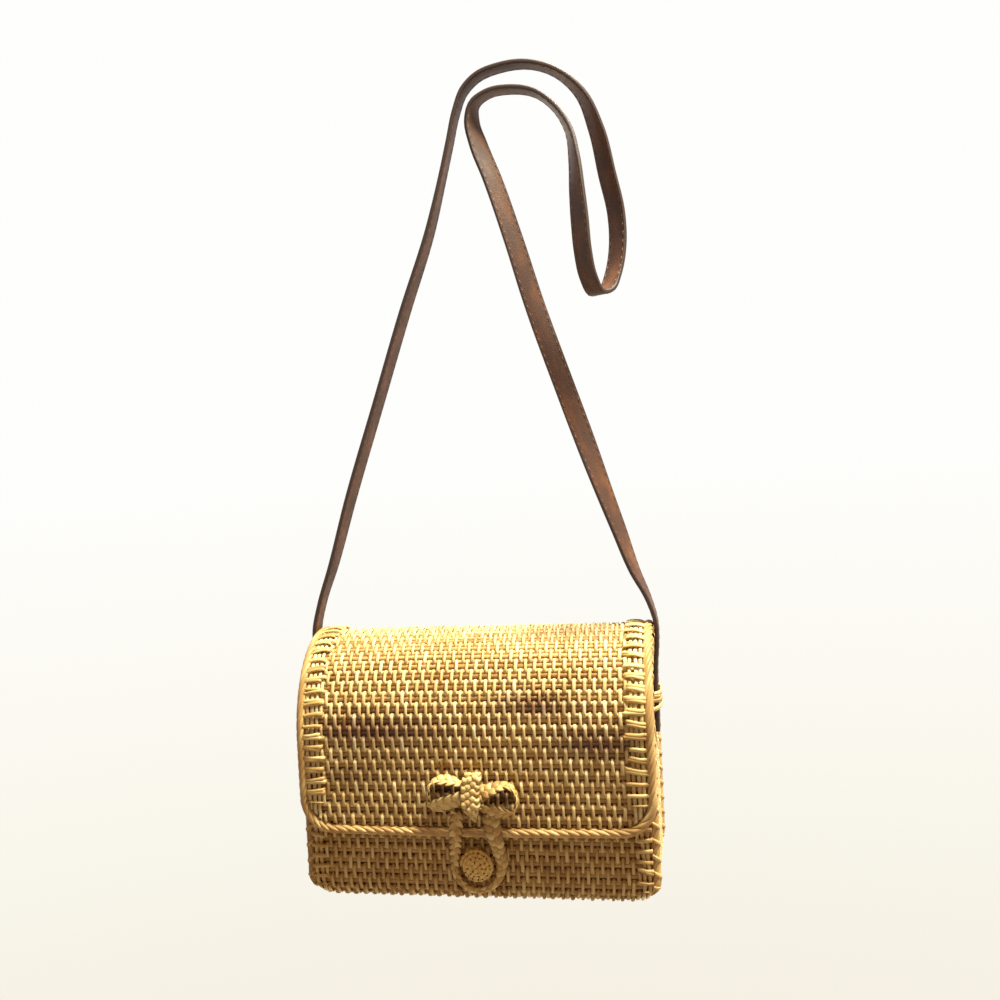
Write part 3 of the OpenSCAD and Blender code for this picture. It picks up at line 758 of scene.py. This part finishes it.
# %% The lid's rope
# Distance from the middle, corner radius, height of the lower run, how proud it lies, and its sag
edge_x, corner, low, proud, sag = 98.3, 17.5, 41.6, 0.6, 0.8
bend = np.radians(np.linspace(0, 90, 10))
down_left = [(-edge_x, y, z) for _, y, z in lid_profile(proud)[::-1] if z > low + corner - HOLD]
round_left = [(-edge_x + corner - corner * math.cos(t), -LID_Y - proud,
               low + corner - corner * math.sin(t) - HOLD) for t in bend]
left_edge = np.array(down_left + round_left)
lower_edge = [(x, -LID_Y - proud, low - HOLD - sag * math.cos(x / 80 * math.pi / 2))
              for x in np.linspace(-77, 77, 60)]
lid_edge = np.vstack([left_edge, lower_edge, left_edge[::-1] * (-1, 1, 1)])
lid_edge_side = np.cross(np.gradient(lid_edge, axis=0), (0.13, 0.31, 0.94))
lid_edge_route = smooth_route(lid_edge, lid_edge_side, 2.0)
lid_rope = rope("lid_rope_twisted", length_of(lid_edge_route[0]), 1, lay_length=27.0, size=1.1)
lay(lid_rope, lid_edge_route)
finish_piece(lid_rope, "lid", rope_grass, "grass_rope", "lid_rope")

# %% The ropes of the ends, the mouth and the hinge
# An end rope's half depth, radius of its lower turns, lowest height, rise of its arch, and its x
ROPE_Y, ROPE_TURN, ROPE_LOW, ROPE_RISE, ROPE_X = 39.5, 4.5, 2.5, 50, 98.5
rope_flat, rope_turn_z = ROPE_Y - ROPE_TURN, ROPE_LOW + ROPE_TURN
arch_angle = np.radians(np.linspace(0, 180, 60))
bottom = np.radians(np.linspace(0, 90, 6))
for word, sign in SIDES:
    ring = np.vstack([
        [(ROPE_Y, z) for z in (60, 40, 20)],
        [(rope_flat + ROPE_TURN * math.cos(t), rope_turn_z - ROPE_TURN * math.sin(t)) for t in bottom],
        [(y, ROPE_LOW) for y in (18, 0, -18)],
        [(-rope_flat - ROPE_TURN * math.sin(t), rope_turn_z - ROPE_TURN * math.cos(t)) for t in bottom],
        [(-ROPE_Y, z) for z in (20, 40, 60)],
        [(-ROPE_Y * math.cos(t), SHOULDER + ROPE_RISE * math.sin(t)) for t in arch_angle],
        [(ROPE_Y, 60)]])
    ring = np.column_stack([np.full(len(ring), sign * ROPE_X), ring[:, 0], ring[:, 1] - HOLD])
    end_route = smooth_route(ring, np.tile((1.0, 0, 0), (len(ring), 1)), 2.0)
    end_rope = rope("end_rope_twisted_" + word, length_of(end_route[0]), sign, wrap=9.0)
    lay(end_rope, end_route)
    soften_corners(end_rope)
    finish_piece(end_rope, "root", rope_grass, "grass_rope", "end_rope_" + word)
for word, y, z in (("mouth_rope_front", -ROPE_Y, 86.7), ("mouth_rope_back", ROPE_Y, 86.7),
                   ("hinge_rope", 44.7, 87.1)):
    line = np.array([(x, y, z - HOLD) for x in np.linspace(-LID_HALF, LID_HALF, 40)])
    straight_rope = rope(word + "_twisted", 2 * LID_HALF, 1)
    lay(straight_rope, (line, np.tile((0.0, 1, 0), (len(line), 1))))
    finish_piece(straight_rope, "root", rope_grass, "grass_rope", word)

# %% [markdown]
# Lashing on the side bands
#
# At every row a strand is drawn over the band and tied round the edge rope, sometimes twice. One
# stitch could be copied down the whole edge, but the real ones are drawn by eye. So each is made on
# its own, with its own width, reach and slope.

# %% Lashing stitches
def lashing(name, rows, row, sign, inner, outer, double):
    stitches = []
    for i in range(1, rows):
        for again in range(2 if rng.random() < double else 1):
            reach = outer - inner + rng.uniform(-1.5, 1.5)
            one = strand("stitch", reach, 9, 6, rng.uniform(2.0, 2.7), 1.4)
            p = points_of(one)
            u = p[:, 0] / reach
            slope = rng.normal(0, 0.8)
            x = i * row + again * 1.4 - 0.3 + slope * (u - 0.5) + 0.3 * np.sin(u * 5 + again)
            height = 1.7 + 1.25 * np.sin(np.pi * np.clip(u * 1.15, 0, 1)) ** 0.5 + 0.3 * u
            height -= 2.2 * np.clip(0.1 - u, 0, 1) * 10
            move_points(one, np.stack([x - p[:, 1] * sign, (outer - reach + p[:, 0]) * -sign,
                                       height + p[:, 2]], axis=1))
            stitches.append(one)
    return join(name, stitches)


# The lid's round corners and the bag's base have no stitches
CORNER_FREE, BASE_FREE = 12, 44
for word, sign in SIDES:
    lid_stitches = lashing("lid_lashing_stitches_" + word, lid_rows, lid_row, sign, 84.8, 97.2, 0.55)
    trim(lid_stitches, lambda p: p[:, 0] < CORNER_FREE)
    lay(lid_stitches, lid_route)
    finish_piece(lid_stitches, "lid", plait_grass, "plaited_grass", "lid_lashing_" + word)
    body_stitches = lashing("body_lashing_stitches_" + word, body_rows, body_length / body_rows, sign,
                            88.5, 97.0, 0.25)
    trim(body_stitches, lambda p: np.abs(p[:, 0] - body_length / 2) < BASE_FREE)
    onto_rows(body_stitches, body_counts, body_lengths)
    lay(body_stitches, body_route)
    soften_corners(body_stitches)
    finish_piece(body_stitches, "root", rope_grass, "plaited_grass")

# %% The hinge's lashing: loops round the hinge line, through the rope and the lid's back edge
HINGE_Y, HINGE_Z, HINGE_R = 47.8, 87.1, 3.4
hinge_loops = []
for x in np.arange(-91.0, 92.0, 4.55):
    one = strand("hinge_loop", 2 * math.pi * HINGE_R, 18, 6, rng.uniform(1.9, 2.5), 1.1)
    p = points_of(one)
    around = p[:, 0] / HINGE_R + math.pi
    r = HINGE_R + p[:, 2]
    slant = rng.normal(0, 0.6)
    move_points(one, np.stack([x + p[:, 1] + slant * np.cos(around / 2), HINGE_Y + r * np.cos(around),
                               HINGE_Z - HOLD + r * np.sin(around)], axis=1))
    hinge_loops.append(one)
hinge_lashing = join("hinge_lashing_loops", hinge_loops)
finish_piece(hinge_lashing, "root", plait_grass, "plaited_grass")

# %% [markdown]
# Bow, closing loop and button
#
# The bow and the closing loop are flat plaits. A band with a plaited bump would have straight edges,
# so the strands are real. In a plait of n strands, while a strand sways from edge to edge and back,
# it goes over and under n - 1 times: one sine for the sway and one for the depth. The button is one
# flat strand coiled over a low dome, because rings side by side would show no spiral.

# %% A flat plait
def plait(name, length, width, count=3, thick=1.5, period=None):
    strand_w = width / count * 1.5
    reach = (width - strand_w) / 2
    period = period or width * 1.5
    made = []
    for k in range(count):
        one = strand(name, length, 12 * math.ceil(length / 8.4), 6, strand_w, thick * 0.6)
        p = points_of(one)
        u = 2 * np.pi * (p[:, 0] / period + k / count)
        slope = np.arctan(reach * 2 * np.pi / period * np.cos(u))
        move_points(one, np.stack([
            p[:, 0] - p[:, 1] * np.sin(slope),
            reach * np.sin(u) + p[:, 1] * np.cos(slope),
            p[:, 2] + thick * 0.38 * np.sin((count - 1) * u)], axis=1))
        # Where a strand goes under its neighbour it is darkened: painted shade in the crossings
        mark(one, "stain", 0.75 * np.clip(0.1 - 1.2 * np.sin((count - 1) * u), 0, 1))
        made.append(one)
    return join(name, made)


# %% The bow's two loops
# The face of the lid's weave, and the width of the plait before it is spread between its edges
FRONT, LOOP_W = -48.2, 9.0
# The front edge and the back edge of each band as x, y and height, from the knot round to the knot
loops = {
    "left": [((-4.5, -52.0, 67.2), (-5.1, -49.7, 70.5)), ((-8.4, -55.0, 68.9), (-9.7, -49.0, 73.2)),
             ((-14.7, -56.2, 69.8), (-14.9, -48.5, 74.3)), ((-19.5, -56.2, 70.7), (-20.2, -48.5, 72.5)),
             ((-21.6, -56.2, 68.6), (-24.0, -48.5, 68.0)), ((-22.4, -56.2, 64.6), (-25.7, -48.5, 62.0)),
             ((-22.0, -55.8, 60.8), (-25.3, -49.2, 57.4)), ((-19.2, -55.2, 61.2), (-22.7, -50.6, 54.2)),
             ((-14.6, -54.8, 62.8), (-18.3, -51.2, 53.9)), ((-10.1, -54.2, 64.3), (-13.6, -51.2, 55.4)),
             ((-4.5, -52.0, 66.1), (-5.7, -50.2, 57.0))],
    "right": [((4.8, -52.0, 59.1), (4.5, -49.7, 68.6)), ((11.6, -55.0, 62.8), (10.1, -49.0, 69.6)),
              ((15.8, -56.2, 65.8), (15.2, -48.5, 70.6)), ((21.0, -56.2, 68.1), (20.2, -48.5, 69.9)),
              ((23.9, -56.2, 66.7), (23.8, -48.5, 67.4)), ((25.5, -56.2, 62.9), (25.7, -48.5, 62.0)),
              ((25.2, -56.2, 58.5), (25.3, -48.8, 57.0)), ((22.5, -55.6, 57.1), (23.3, -50.2, 53.5)),
              ((18.0, -55.2, 57.5), (19.2, -51.2, 51.0)), ((13.8, -54.6, 59.4), (14.1, -51.2, 50.4)),
              ((10.0, -53.8, 59.1), (9.0, -50.8, 52.4)), ((4.6, -52.0, 57.0), (3.9, -50.2, 54.1))]}
for word, edges in loops.items():
    front, back = np.moveaxis(np.array(edges) - (0, 0, HOLD), 1, 0)
    across = front - back if word == "left" else back - front
    loop_route = smooth_route((front + back) / 2, across, 0.8)
    spread = np.linalg.norm(loop_route[1], axis=1)
    loop_length = length_of(loop_route[0])
    loop = plait("bow_loop_plait_" + word, loop_length, LOOP_W, thick=1.4)
    p = points_of(loop)
    p[:, 1] *= np.interp(p[:, 0], np.linspace(0, loop_length, len(spread)), spread) / LOOP_W
    move_points(loop, p)
    lay(loop, loop_route)
    finish_piece(loop, "lid", plait_grass, "plaited_grass", "bow_loop_" + word)

# %% The knot
knot_path = np.array([(1.5, FRONT - 1.0, 72.6), (1.8, FRONT - 2.2, 75.2), (1.5, FRONT - 3.8, 73.6),
                      (0.6, FRONT - 4.7, 69.6), (0, FRONT - 5.4, 63.6), (0.3, FRONT - 6.0, 57.6),
                      (1.2, FRONT - 5.4, 53.1), (1.9, FRONT - 4.0, 49.4)]) - (0, 0, HOLD)
knot_route = smooth_route(knot_path, np.tile((1.0, 0, 0), (len(knot_path), 1)), 0.8)
knot_length = length_of(knot_route[0])
knot = plait("bow_knot_plait", knot_length, 11.0, count=5, thick=1.5, period=20)
p = points_of(knot)
p[:, 1] *= np.interp(p[:, 0] / knot_length, [0, 0.1, 0.2, 0.5, 0.72, 1], [0.8, 0.95, 1, 1.02, 1, 0.12])
move_points(knot, p)
lay(knot, knot_route)
# The plait is wound over a core, the ends of the two loops, made dark: painted shade seen through
# the plait's gaps
core = start(bpy.ops.mesh.primitive_cube_add, (8.6, 4.2, 20), size=MM,
             location=(0.3 * MM, (FRONT - 2.2) * MM, (62.1 - HOLD) * MM))
bevel_all(1.6, 2)
tint(core, 0.1)
mark(core, "stain", np.full(len(core.data.vertices), 0.9))
knot = join("bow_knot_plait", [knot, core])
finish_piece(knot, "lid", plait_grass, "plaited_grass", "bow_knot")

# %% The closing loop
# The button's middle as x and height, and the face of the wall that it is sewn to
BUTTON, WALL_FACE = (-0.2, 21.0), -42.0
under = np.radians(np.linspace(180, 360, 13))
tail_left = [(-8.6, FRONT - 1.0, 53), (-9.6, FRONT - 1.0, 46.5), (-10.6, FRONT - 0.8, 39),
             (-11.8, -45.6, 30.5), (-13.0, -43.6, 23)]
tail_right = [(14.0, -43.6, 23), (12.8, -45.6, 30.5), (11.8, FRONT - 0.8, 38.5),
              (10.8, FRONT - 1.0, 45.5), (9.6, FRONT - 1.0, 52.5)]
low_arc = [(13.5 * math.cos(t), -43.5, BUTTON[1] + 14.0 * math.sin(t)) for t in under[1:-1]]
tail_path = np.array(tail_left + low_arc + tail_right) - (0, 0, HOLD)
outward = np.array([(-1.0, 0, 0)] * len(tail_left) + [(math.cos(t), 0, math.sin(t)) for t in under[1:-1]]
                   + [(1.0, 0, 0)] * len(tail_right))
tail_route = smooth_route(tail_path, -outward, 0.8)
tail_length = length_of(tail_route[0])
closing = plait("closing_loop_plait", tail_length, 8.5, thick=1.4, period=13)
p = points_of(closing)
p[:, 1] *= np.interp(p[:, 0] / tail_length, [0, 0.1, 0.2, 0.3, 0.38, 0.5, 0.62, 0.7, 0.8, 0.9, 1],
                      [1.0, 0.96, 0.86, 0.64, 0.5, 0.42, 0.5, 0.8, 1.02, 1.15, 1.22])
move_points(closing, p)
lay(closing, tail_route)
finish_piece(closing, "lid", plait_grass, "plaited_grass", "closing_loop")

# %% The button: a flat strand coiled from the middle outwards, over a low dome
# The outermost turn's distance from the middle, the dome's height and its fall towards the rim
coil_turns, coil_reach, dome_high, dome_fall = 4.5, 8.35, 4.3, 2.3
coil = strand("button_coil", 1.0, 420, 8, 2.7, 1.9)
p = points_of(coil)
u = np.sqrt(np.clip(p[:, 0], 0, 1))
angle = 2 * np.pi * coil_turns * u
radius = 0.4 + coil_reach * u
swell = 1 + 0.15 * np.sin(2 * np.pi * 44 * p[:, 0])
y, z = p[:, 1] * swell, p[:, 2] * swell
local = np.stack([(radius + y) * np.cos(angle), (radius + y) * np.sin(angle),
                  dome_high - dome_fall * u ** 2 + z], axis=1)
mark(coil, "fibre", np.stack([p[:, 0] * 120, y, z], axis=1))
mark(coil, "tone", 0.6 + 0.2 * np.sin(p[:, 0] * 290))
move_points(coil, local)
dome_core = start(bpy.ops.mesh.primitive_uv_sphere_add, (1, 1, 0.27), segments=24, ring_count=12,
                  radius=8.6 * MM, location=(0, 0, 1.9 * MM))
bpy.ops.object.shade_smooth()
tint(dome_core, 0.05)
stem = strand("button_stem_wound", 2.0, 4, 12, 8, 8)
p = points_of(stem)
move_points(stem, np.stack([p[:, 1], p[:, 2], p[:, 0]], axis=1))
button = join("button_coiled", [coil, dome_core, stem])


def set_on_wall(obj):
    p = points_of(obj)
    move_points(obj, np.stack([BUTTON[0] + p[:, 0], WALL_FACE - p[:, 2], BUTTON[1] + p[:, 1] - HOLD],
                              axis=1))


set_on_wall(button)
finish_piece(button, "root", coil_grass, "woven_grass", "button", "button_stem")

# %% The holes that its stitches leave, in rings, as dark beads of painted shade
hole = start(bpy.ops.mesh.primitive_ico_sphere_add, (1.8, 0.9, 0.9), subdivisions=1, radius=0.55 * MM)
bpy.ops.object.shade_smooth()
shape = points_of(hole)
holes = []
for ring_r in (2.9, 5.1, 7.3):
    around = round(2 * math.pi * ring_r / 3.0)
    for k in range(around):
        only(hole)
        bpy.ops.object.duplicate()
        one = bpy.context.object
        t = 2 * math.pi * (k + rng.uniform(-0.3, 0.3)) / around + ring_r
        turned = np.stack([shape[:, 0] * math.cos(t) - shape[:, 1] * math.sin(t),
                           shape[:, 0] * math.sin(t) + shape[:, 1] * math.cos(t), shape[:, 2]], axis=1)
        out = (ring_r - 0.4) / coil_reach
        move_points(one, turned + (ring_r * math.cos(t), ring_r * math.sin(t),
                                   dome_high + 0.65 - dome_fall * out ** 2))
        tint(one, 0.8)
        holes.append(one)
bpy.data.objects.remove(hole)
button_holes = join("button_holes", holes)
set_on_wall(button_holes)
finish_piece(button_holes, "root", filling_shade, "woven_grass")

# %% [markdown]
# Keepers
#
# On each end the strap runs under a small wound grass band that comes out of the wall on both sides
# of it. One wide strip would hold the strap too, but the turns of the band show. So it is four
# strands that bridge the strap side by side.

# %% Strap keepers
KEEPER_Z, BAND_STEP = 106.0, 2.2
for word, sign in SIDES:
    bands = []
    for k in range(4):
        z0 = KEEPER_Z + (k - 1.5) * BAND_STEP
        tip = 103.3 + rng.uniform(-0.1, 0.4)
        slant = rng.normal(0, 1.2)
        path = np.array([
            (98.5, -8.4, z0 - slant), (100.6, -7.9, z0 - slant), (102.4, -6.9, z0 - 0.7 * slant),
            (tip, -4.0, z0 - 0.4 * slant), (tip + 0.3, 0, z0), (tip, 4.0, z0 + 0.4 * slant),
            (102.4, 6.9, z0 + 0.7 * slant), (100.6, 7.9, z0 + slant), (98.5, 8.4, z0 + slant)])
        path = path * (sign, 1, 1) - (0, 0, HOLD)
        band_route = smooth_route(path, np.tile((0.0, 0, 1), (len(path), 1)), 0.8)
        one = strand("band", length_of(band_route[0]), 20, 6, 2.6, 1.3)
        lay(one, band_route)
        bands.append(one)
    keeper = join("keeper_wound_" + word, bands)
    finish_piece(keeper, "root", plait_grass, "plaited_grass", "keeper_" + word)

# %% [markdown]
# Floor and light
#
# The bag hangs well clear of a pale floor. A wide soft lamp stands overhead, so the crown is the
# brightest place and the wall under the lid's edge lies in shade. Weak lamps in front, on the right
# and behind open the shadows. More light would make the background pale too, but it would wash out
# the grass. So the background is pale only where the eye or a reflection meets it.

# %% Floor
floor_paint, tree = blank("floor_matt_white")
spot = add(tree, "TexCoord", {})
mottle = add(tree, "TexNoise", {"Scale": 3.0}, {"Vector": (spot, "Object")})
shade = add(tree, "ValToRGB", {"stops": [(0.0, "#efeae0"), (1.0, "#f4f0e8")]}, {"Fac": (mottle, "Fac")})
shader = add(tree, "BsdfPrincipled", {"Roughness": 0.8}, {"Base Color": (shade, "Color")})
# Seen by the eye, the floor is mostly as pale as the backdrop; the bag gets only its shaded colour
glow = add(tree, "Emission", {"Strength": 1.0}, {"Color": (shade, "Color")})
rays = add(tree, "LightPath", {})
share = add(tree, "Math", {"operation": "MULTIPLY", 1: 0.75}, {0: (rays, "Is Camera Ray")})
mixed = add(tree, "MixShader", {}, {0: (share, "Value"), 1: (shader, "BSDF"), 2: (glow, "Emission")})
add(tree, "OutputMaterial", {}, {"Surface": (mixed, "Shader")})
bpy.ops.object.select_all(action="DESELECT")
bpy.ops.mesh.primitive_circle_add(vertices=96, radius=0.9, fill_type="NGON", location=(0, 0, 0))
floor = bpy.context.object
floor.name = "floor"
floor.data.transform(Matrix.Translation((0, 0, -1.15)))
floor.data.materials.append(floor_paint)
print("floor:", floor_paint.name)

# %% World and lamps
world = bpy.data.worlds.new("studio")
world.use_nodes = True
scene.world = world
tree = world.node_tree
tree.nodes.clear()
rays = add(tree, "LightPath", {})
seen = add(tree, "Math", {"operation": "MAXIMUM"},
           {0: (rays, "Is Camera Ray"), 1: (rays, "Is Glossy Ray")})
shown = add(tree, "Math", {"operation": "MAXIMUM"},
            {0: (seen, "Value"), 1: (rays, "Is Transmission Ray")})
sky = add(tree, "TexCoord", {})
height = add(tree, "SeparateXYZ", {}, {"Vector": (sky, "Generated")})
fall = add(tree, "MapRange", {"From Min": -0.5, "From Max": 0.0}, {"Value": (height, "Z")})
pale = add(tree, "ValToRGB", {"stops": [(0.0, "#f4efe1"), (0.5, "#fbf8ef"), (1.0, "#fefefc")]},
           {"Fac": (fall, "Result")})
lamp_light = add(tree, "Background", {"Color": linear("#ffc58c"), "Strength": 0.18})
backdrop = add(tree, "Background", {"Strength": 1.0}, {"Color": (pale, "Color")})
both = add(tree, "MixShader", {}, {
    0: (shown, "Value"), 1: (lamp_light, "Background"), 2: (backdrop, "Background")})
add(tree, "OutputWorld", {}, {"Surface": (both, "Shader")})


def soft_lamp(name, place, aim, size, power, colour):
    data = bpy.data.lights.new(name, "AREA")
    data.shape, data.size, data.energy = "DISK", size, power
    data.color = linear(colour)[:3]
    lamp = bpy.data.objects.new(name, data)
    scene.collection.objects.link(lamp)
    lamp.location = place
    lamp.rotation_euler = (Vector(aim) - Vector(place)).to_track_quat("-Z", "Y").to_euler()


BAG_MIDDLE = (0, 0, -0.38)
soft_lamp("lamp_overhead", (0.4, -0.135, 0.78), BAG_MIDDLE, 0.38, 44, "#fffbe6")
soft_lamp("lamp_front", (0.4, -0.85, 0.55), BAG_MIDDLE, 0.9, 1.3, "#ffcd98")
soft_lamp("lamp_right", (0.7, 0.1, -0.45), (0.1, 0, -0.42), 0.4, 1.4, "#fff3d6")
soft_lamp("lamp_back", (-0.7, 0.9, 0.1), BAG_MIDDLE, 0.9, 1.6, "#ffe6c4")
